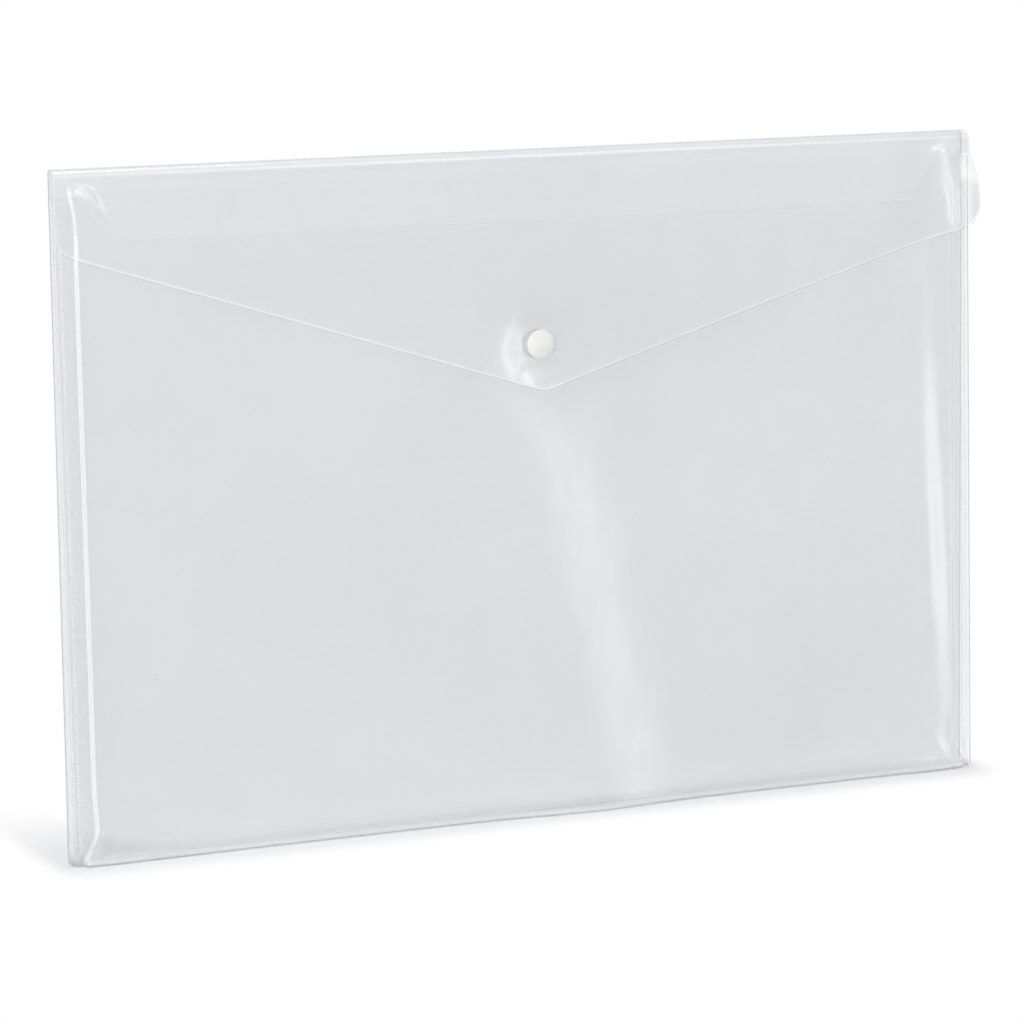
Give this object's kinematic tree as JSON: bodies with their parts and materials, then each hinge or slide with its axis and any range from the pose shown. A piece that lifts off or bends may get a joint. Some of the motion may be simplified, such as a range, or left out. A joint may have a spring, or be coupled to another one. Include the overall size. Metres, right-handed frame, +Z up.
{
  "type": "document wallet",
  "caption": "Clear film document wallet with a wedge-shaped pocket, welded ribbed sides, a rounded top fold and a V flap closed by a white press stud.",
  "frame": {"origin": "on the surface the wallet stands on, under the middle of its outer box", "axes": "+X along the width, front towards -Y, +Z up"},
  "size_m": [0.34, 0.0114, 0.23],
  "materials": {
    "film": "clear glossy film",
    "weld": "ribbed heat weld, slightly frosted",
    "snap": "moulded white, low gloss"
  },
  "bodies": {
    "pocket": {"back_panel": "film", "base_panel": "film", "front_panel": "film", "left_gusset": "film", "right_gusset": "film", "left_side_weld": "weld", "right_side_weld": "weld", "snap_stud": "snap", "snap_stud_back": "snap"},
    "spine": {"top_spine": "film"},
    "flap": {"flap_panel": "film", "snap_cap": "snap", "snap_socket": "snap"}
  },
  "joints": [
    {"name": "rear_crease", "type": "hinge", "parent": "pocket", "child": "spine", "pos_m": [0, 0.00499, 0.22925], "axis": [-1, 0, 0], "range_deg": [0, 135]},
    {"name": "front_crease", "type": "hinge", "parent": "spine", "child": "flap", "pos_m": [0, 0.00109, 0.22925], "axis": [-1, 0, 0], "range_deg": [0, 135]}
  ]
}
